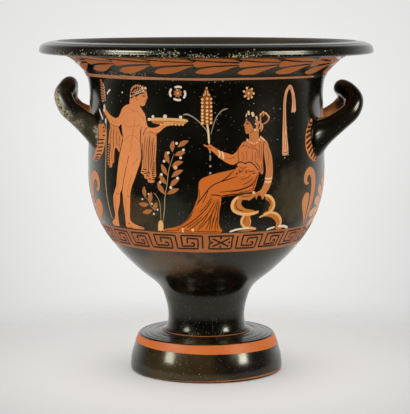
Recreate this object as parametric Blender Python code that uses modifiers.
"""A bell krater: a wide fired-clay bowl for mixing wine and water, on a stem and a spreading foot.

The pot is one fired piece. The bowl, stem and foot are turned on a wheel, and two round rods of
clay, bent into upturned loops, are luted to its sides before it is fired. The origin is in the
middle of the underside, the mouth opens upwards (+Z), the handles point along -X and +X, and the
front is the side that faces -Y.
"""
import math

import bmesh
import bpy
from mathutils import Vector

MM = 0.001

# Driving dimensions, in millimetres. An outline is a list of (radius, height).
WALL = 6.5                 # thickness of the turned wall
LATHE_STEPS = 64           # facets round the pot

LIP_OUTLINE = [            # from the crest round the heavy outer edge to the flat underside
    (149.6, 331.2), (157.6, 329.6), (163.2, 327.0), (166.0, 322.8), (165.4, 319.6),
    (160.0, 318.5), (147.0, 318.0), (139.0, 316.4),
]
BOWL_OUTLINE = [           # from under the lip, down the bowl and the stem
    (134.1, 313.6), (121.2, 300.0), (116.6, 284.0), (117.0, 250.0), (118.4, 212.0), (116.6, 181.0),
    (107.6, 152.0), (90.6, 126.0), (69.1, 104.0), (48.0, 86.0), (40.6, 69.0), (38.5, 54.0), (40.6, 42.6),
]
BOWL_POINTS_BETWEEN = 1    # further points of the smooth curve between two of those
STEM_RING = [(43.4, 41.2), (44.3, 40.2), (46.0, 39.0)]    # the small step where stem and foot meet
FOOT_OUTLINE = [(67.2, 37.2), (68.8, 35.6), (71.8, 28.0), (75.4, 16.0), (76.8, 6.5), (76.4, 1.4)]
REST_RING = [(75.0, 0.0), (60.0, 0.0)]    # the flat ring that the pot stands on
FOOT_HOLLOW = [(57.0, 6.0), (47.0, 17.0), (31.0, 29.0), (24.5, 44.0), (21.0, 60.0), (12.0, 70.0), (0.0, 73.0)]
BOWL_FLOOR = [(0.0, 88.0), (18.0, 89.2), (38.0, 95.0), (56.0, 106.0)]
SIDE_HEIGHTS = (112.0, 300.0)    # between these the inside keeps a wall's thickness from the outside
MOUTH = [(122.0, 309.0), (131.5, 319.8), (141.5, 328.0)]

ROOT_TRIM_RADIUS = 114.0   # the handles end at this radius, inside the wall
# A handle's middle line from its front root over the loop's crown to its back root:
# (distance out from the axis, distance towards the back, height, half thickness)
LEFT_HANDLE = [
    (92.6, -41.0, 234.2, 15.4), (103.4, -41.0, 241.2, 14.4), (113.8, -40.0, 248.6, 11.6),
    (125.4, -38.5, 258.0, 9.8), (135.6, -35.5, 267.0, 9.4), (140.4, -29.0, 278.0, 9.0),
    (137.8, -16.0, 285.2, 8.6), (136.4, 0.0, 287.2, 8.2), (138.0, 16.0, 281.4, 8.6),
    (139.4, 29.0, 270.8, 9.0), (133.0, 35.5, 260.8, 9.4), (123.0, 38.5, 254.6, 9.8),
    (112.6, 40.0, 248.4, 11.6), (103.0, 41.0, 242.6, 14.4), (92.6, 41.0, 236.0, 15.4),
]
RIGHT_HANDLE = [
    (95.5, -41.0, 228.6, 15.4), (106.5, -41.0, 236.2, 14.4), (118.2, -40.0, 244.6, 11.6),
    (131.0, -38.5, 254.2, 9.8), (141.6, -35.5, 263.4, 9.4), (145.2, -29.0, 273.6, 9.1),
    (140.8, -16.0, 281.2, 8.8), (136.2, 0.0, 283.8, 8.6), (139.8, 16.0, 279.0, 8.8),
    (142.4, 29.0, 271.0, 9.1), (136.4, 35.5, 261.2, 9.4), (126.6, 38.5, 253.0, 9.8),
    (116.0, 40.0, 245.2, 11.6), (105.5, 41.0, 237.6, 14.4), (95.5, 41.0, 230.0, 15.4),
]
HANDLE_POINTS_BETWEEN = 2
HANDLE_BEVEL_RESOLUTION = 4    # twelve sides


def clear_scene():
    for thing in list(bpy.data.objects):
        bpy.data.objects.remove(thing, do_unlink=True)


def make_collection(name):
    group = bpy.data.collections.new(name)
    bpy.context.scene.collection.children.link(group)
    return group


def make_material(name, color, roughness):
    material = bpy.data.materials.new(name)
    material.use_nodes = True
    shader = material.node_tree.nodes["Principled BSDF"]
    shader.inputs["Base Color"].default_value = (*color, 1.0)
    shader.inputs["Roughness"].default_value = roughness
    shader.inputs["Metallic"].default_value = 0.0
    return material


def curve_through(knots, points_between):
    """Points of a smooth curve that passes through every knot."""
    ends = [knots[0]] + list(knots) + [knots[-1]]
    points = []
    for before, start, stop, after in zip(ends, ends[1:], ends[2:], ends[3:]):
        for step in range(points_between + 1):
            t = step / (points_between + 1)
            points.append(tuple(
                0.5 * (2 * b + (c - a) * t + (2 * a - 5 * b + 4 * c - d) * t ** 2
                       + (3 * b - a - 3 * c + d) * t ** 3)
                for a, b, c, d in zip(before, start, stop, after)))
    points.append(tuple(knots[-1]))
    return points


def inside_outline(outside):
    """The inside of the bowl from its floor up to the mouth, a wall's thickness in from the outside."""
    lowest, highest = SIDE_HEIGHTS
    sides = []
    for above, here, below in zip(outside, outside[1:], outside[2:]):
        if lowest <= here[1] <= highest:
            down = Vector((below[0] - above[0], below[1] - above[1])).normalized()
            sides.append((here[0] + WALL * down.y, here[1] - WALL * down.x))
    return BOWL_FLOOR + sides[::-2] + MOUTH


def pot_outline():
    """The section of the pot: from the floor up the inside, over the lip, down to the foot's hollow."""
    bowl = curve_through(BOWL_OUTLINE, BOWL_POINTS_BETWEEN)
    outside = LIP_OUTLINE + bowl + STEM_RING + FOOT_OUTLINE + REST_RING + FOOT_HOLLOW
    return inside_outline(bowl) + outside


def turn_pot(name, group):
    """The bowl, stem and foot, turned round Z."""
    mesh = bpy.data.meshes.new(name)
    points = [(radius * MM, 0.0, height * MM) for radius, height in pot_outline()]
    mesh.from_pydata(points, [(i, i + 1) for i in range(len(points) - 1)], [])
    pot = bpy.data.objects.new(name, mesh)
    group.objects.link(pot)
    lathe = pot.modifiers.new("Turned", "SCREW")
    lathe.axis = "Z"
    lathe.angle = math.radians(360.0)
    lathe.steps = LATHE_STEPS
    lathe.render_steps = LATHE_STEPS
    lathe.use_merge_vertices = True
    lathe.merge_threshold = 0.00005
    lathe.use_smooth_shade = True
    return pot


def handle_rod(name, side, middle_line, group):
    """One rod of clay bent into an upturned loop, as a solid; side is -1 for -X and 1 for +X."""
    curve = bpy.data.curves.new(name, "CURVE")
    curve.dimensions = "3D"
    curve.bevel_depth = MM
    curve.bevel_resolution = HANDLE_BEVEL_RESOLUTION
    curve.use_fill_caps = True
    spline = curve.splines.new("POLY")
    route = curve_through(middle_line, HANDLE_POINTS_BETWEEN)
    spline.points.add(len(route) - 1)
    for point, (x, y, z, radius) in zip(spline.points, route):
        point.co = (side * x * MM, y * MM, z * MM, 1.0)
        point.radius = radius
    rod = bpy.data.objects.new(name, curve)
    group.objects.link(rod)
    mesh = bpy.data.meshes.new_from_object(rod.evaluated_get(bpy.context.evaluated_depsgraph_get()))
    solid = bpy.data.objects.new(name + "_solid", mesh)
    solid.matrix_world = rod.matrix_world.copy()
    group.objects.link(solid)
    bpy.data.objects.remove(rod, do_unlink=True)
    faces = bmesh.new()
    faces.from_mesh(mesh)
    bmesh.ops.remove_doubles(faces, verts=faces.verts, dist=0.00005)
    bmesh.ops.recalc_face_normals(faces, faces=faces.faces)
    faces.to_mesh(mesh)
    faces.free()
    return solid


def root_trimmer(name, group):
    """A drum inside the wall that cuts the rods off, so that none of them shows inside the bowl."""
    drum_mesh = bpy.data.meshes.new(name)
    shape = bmesh.new()
    bmesh.ops.create_cone(shape, cap_ends=True, segments=LATHE_STEPS, radius1=ROOT_TRIM_RADIUS * MM,
                          radius2=ROOT_TRIM_RADIUS * MM, depth=140.0 * MM)
    shape.to_mesh(drum_mesh)
    shape.free()
    drum = bpy.data.objects.new(name, drum_mesh)
    drum.location = (0.0, 0.0, 250.0 * MM)
    group.objects.link(drum)
    return drum


def boolean(target, operation, other):
    step = target.modifiers.new(operation.title() + "_" + other.name, "BOOLEAN")
    step.operation = operation
    step.solver = "EXACT"
    step.object = other


def hide_helper(thing):
    thing.hide_render = True
    thing.display_type = "WIRE"


def build():
    clear_scene()
    parts = make_collection("bell_krater")
    helpers = make_collection("helpers")
    pot = turn_pot("krater", parts)
    pot.data.materials.append(make_material("black_gloss", (0.021, 0.018, 0.015), 0.28))
    drum = root_trimmer("root_trimmer", helpers)
    hide_helper(drum)
    for name, side, middle_line in (("left_handle", -1, LEFT_HANDLE), ("right_handle", 1, RIGHT_HANDLE)):
        rod = handle_rod(name, side, middle_line, helpers)
        boolean(rod, "DIFFERENCE", drum)
        boolean(pot, "UNION", rod)
        hide_helper(rod)


build()
